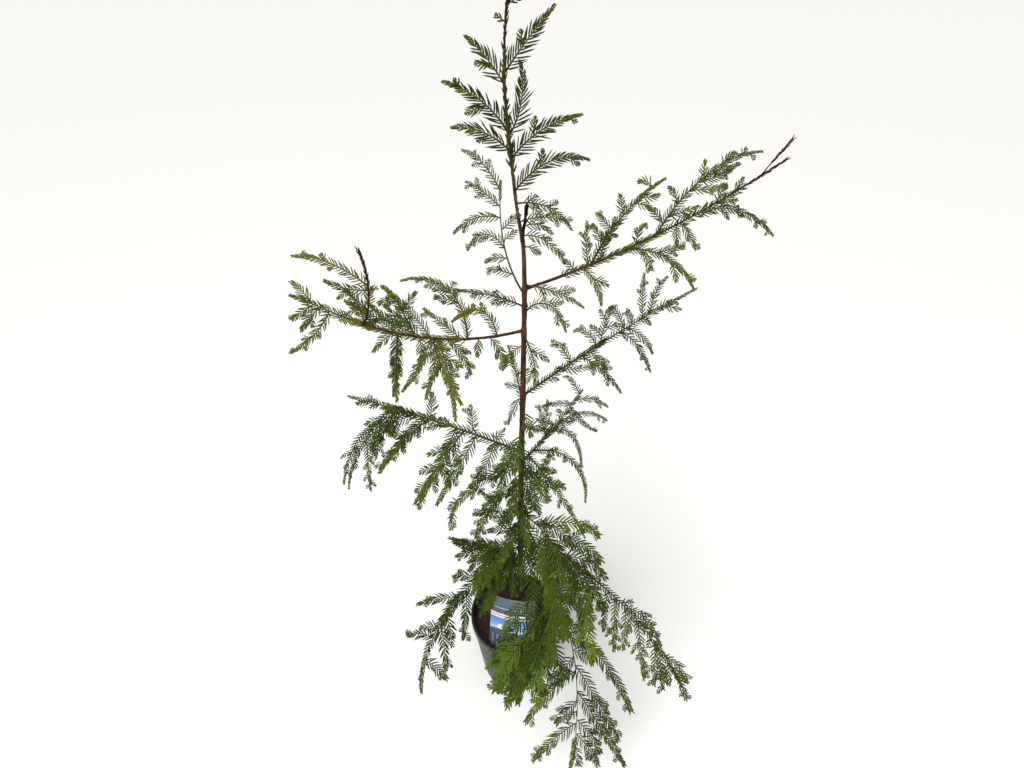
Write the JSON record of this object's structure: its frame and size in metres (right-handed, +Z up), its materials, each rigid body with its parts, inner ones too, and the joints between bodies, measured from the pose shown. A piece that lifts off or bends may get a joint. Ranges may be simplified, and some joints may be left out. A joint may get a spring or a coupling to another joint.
{
  "type": "potted coast redwood",
  "caption": "Young coast redwood sapling in a round nursery pot: slim straight trunk, airy drooping boughs with flat needle sprays, and a picture tag in the soil.",
  "frame": {"origin": "centre of the pot's flat underside, where the potted tree stands", "axes": "+Z up along the trunk, -Y towards the side the picture tag faces, +X to the viewer's right from that side"},
  "size_m": [0.5534, 0.4187, 1.1827],
  "materials": {
    "pot_plastic": "dark moulded polypropylene, satin",
    "potting_soil": "moist dark potting soil with bark crumbs, matt",
    "tag_card": "printed waterproof plastic card, satin",
    "bark": "thin reddish-brown fibrous bark, matt",
    "dead_wood": "dry weathered dark wood, matt",
    "needles": "soft flat evergreen needles, satin"
  },
  "bodies": {
    "root": {"pot": "pot_plastic", "potting_soil": "potting_soil", "picture_tag": "tag_card", "trunk": "bark", "dead_leader_stub": "dead_wood", "bough_left_middle": "bark", "bough_left_upper": "bark", "bough_low_front": "bark", "bough_low_right": "bark", "bough_right_lower": "bark", "bough_right_middle": "bark", "bough_right_upper": "bark", "foliage_back_left": "needles", "foliage_back_right": "needles", "foliage_back_upper": "needles", "foliage_front_hanging": "needles", "foliage_front_low": "needles", "foliage_front_middle": "needles", "foliage_front_right": "needles", "foliage_leader_left_1": "needles", "foliage_leader_left_2": "needles", "foliage_leader_left_3": "needles", "foliage_leader_right_1": "needles", "foliage_leader_right_2": "needles", "foliage_leader_right_3": "needles", "foliage_leader_right_4": "needles", "foliage_leader_tip": "needles", "foliage_left_drooping": "needles", "foliage_left_inner": "needles", "foliage_left_low": "needles", "foliage_left_middle_drop": "needles", "foliage_left_middle_frond": "needles", "foliage_left_middle_inner": "needles", "foliage_left_middle_outer": "needles", "foliage_left_middle_tip": "needles", "foliage_left_short": "needles", "foliage_left_upper_back": "needles", "foliage_left_upper_drop": "needles", "foliage_left_upper_hanging": "needles", "foliage_left_upper_middle": "needles", "foliage_left_upper_rise": "needles", "foliage_left_upper_tip": "needles", "foliage_low_front_tip": "needles", "foliage_low_right_tip": "needles", "foliage_right_arch": "needles", "foliage_right_lower_arch": "needles", "foliage_right_lower_bow": "needles", "foliage_right_lower_down": "needles", "foliage_right_lower_tip": "needles", "foliage_right_middle_back": "needles", "foliage_right_middle_low": "needles", "foliage_right_middle_tip": "needles", "foliage_right_near": "needles", "foliage_right_small": "needles", "foliage_right_upper_back": "needles", "foliage_right_upper_long": "needles", "foliage_right_upper_low": "needles", "foliage_right_upper_near": "needles", "foliage_right_upper_tip": "needles", "foliage_upright_shoot": "needles"}
  },
  "joints": []
}
